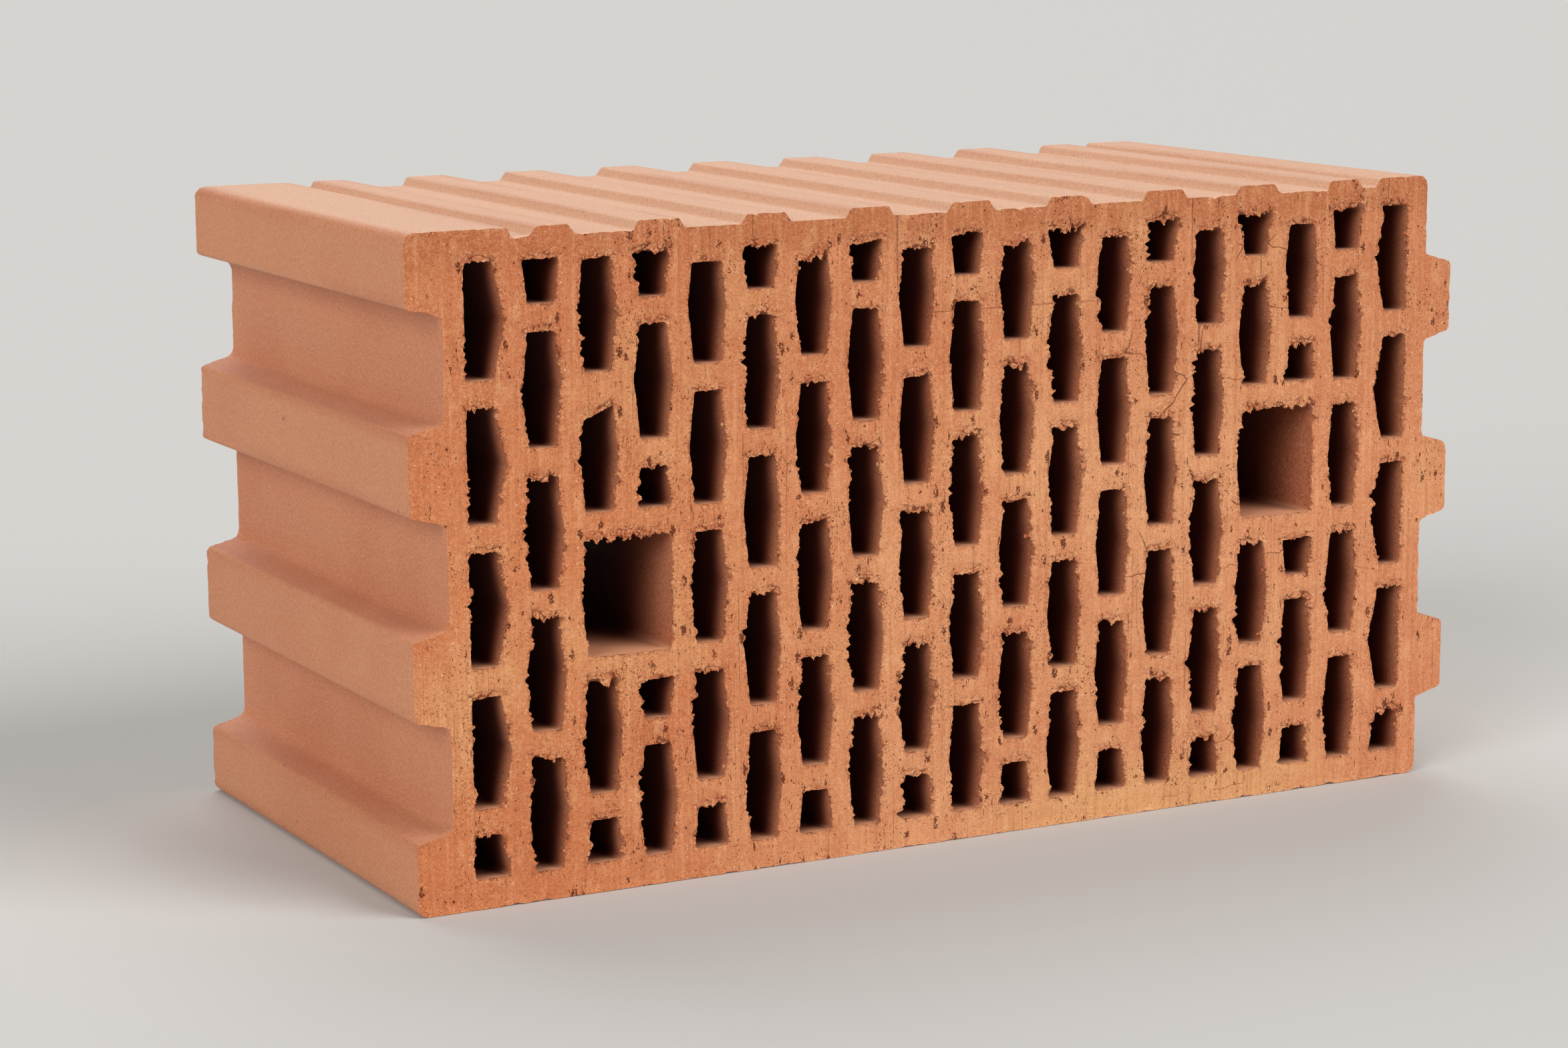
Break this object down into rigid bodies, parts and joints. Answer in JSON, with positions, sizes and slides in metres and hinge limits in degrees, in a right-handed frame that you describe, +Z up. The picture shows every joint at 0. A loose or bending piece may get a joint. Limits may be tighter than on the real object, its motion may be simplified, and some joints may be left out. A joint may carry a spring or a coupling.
{
  "type": "perforated clay block",
  "caption": "Large fired clay wall block with staggered through slots, two grip holes, ribbed plaster face, tongues on one end and grooves in the other.",
  "frame": {"origin": "centre of the bounding box at the level of the plain underside", "axes": "+X along the block's length towards the tongues, +Y along the holes away from the pictured cut face, +Z up towards the ribbed plaster face"},
  "size_m": [0.4626, 0.219, 0.25],
  "materials": {
    "fired_clay": "matt, smooth pressed skin with crumbly wire-cut faces"
  },
  "bodies": {
    "root": {"clay_block": "fired_clay"}
  },
  "joints": []
}
